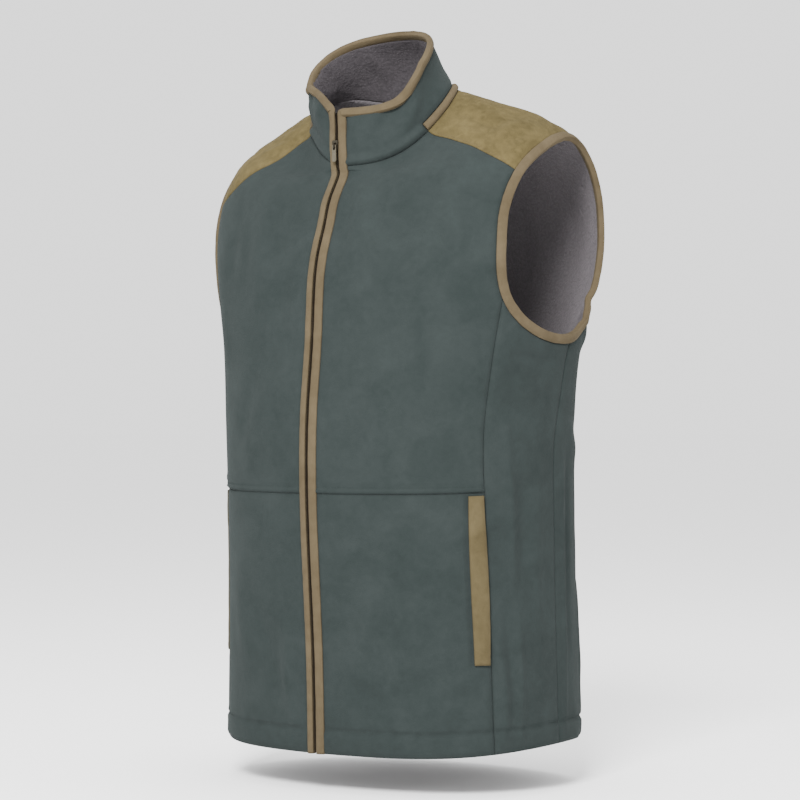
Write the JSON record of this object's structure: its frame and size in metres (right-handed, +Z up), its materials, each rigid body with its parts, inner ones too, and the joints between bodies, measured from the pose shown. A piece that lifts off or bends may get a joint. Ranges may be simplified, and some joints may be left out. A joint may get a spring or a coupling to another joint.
{
  "type": "fleece gilet",
  "caption": "Sleeveless zip-front fleece body warmer in its worn shape, with a stand collar, contrast shoulder yokes, taped armholes and edges, and welted side pockets.",
  "frame": {"origin": "on the garment's middle plane, level with where the shoulders meet the neck, where the wearer's shoulders hold it", "axes": "-Y is the front, +X is the wearer's left, +Z is up"},
  "size_m": [0.3932, 0.3005, 0.7288],
  "materials": {
    "fleece": "short napped fleece, grey-green, matt",
    "suede_cloth": "brushed suede-like cloth and tape, tan, matt",
    "pile_lining": "pebbled pile, grey-mauve, matt",
    "zip_tape": "woven zip tape with moulded teeth, dark brown",
    "slider_metal": "pale enamelled metal, satin"
  },
  "bodies": {
    "garment": {"armhole_tape_left": "suede_cloth", "armhole_tape_right": "suede_cloth", "back": "fleece", "collar": "fleece", "collar_edge_tape": "suede_cloth", "collar_lining": "pile_lining", "front_edge_tape_left": "suede_cloth", "front_edge_tape_right": "suede_cloth", "front_lower_left": "fleece", "front_lower_right": "fleece", "front_upper_left": "fleece", "front_upper_right": "fleece", "hem_turning": "fleece", "lining_back": "pile_lining", "lining_front_left": "pile_lining", "lining_front_right": "pile_lining", "pocket_welt_left": "suede_cloth", "pocket_welt_right": "suede_cloth", "side_panel_left": "fleece", "side_panel_right": "fleece", "slider": "slider_metal", "yoke_left": "suede_cloth", "yoke_right": "suede_cloth", "yoke_roll_left": "suede_cloth", "yoke_roll_right": "suede_cloth", "zip_left": "zip_tape", "zip_right": "zip_tape"},
    "pull": {"pull_tab": "slider_metal"}
  },
  "joints": [
    {"name": "pull_hinge", "type": "hinge", "parent": "garment", "child": "pull", "pos_m": [0, -0.11266, -0.05716], "axis": [-1, 0, 0], "range_deg": [0, 160]}
  ]
}
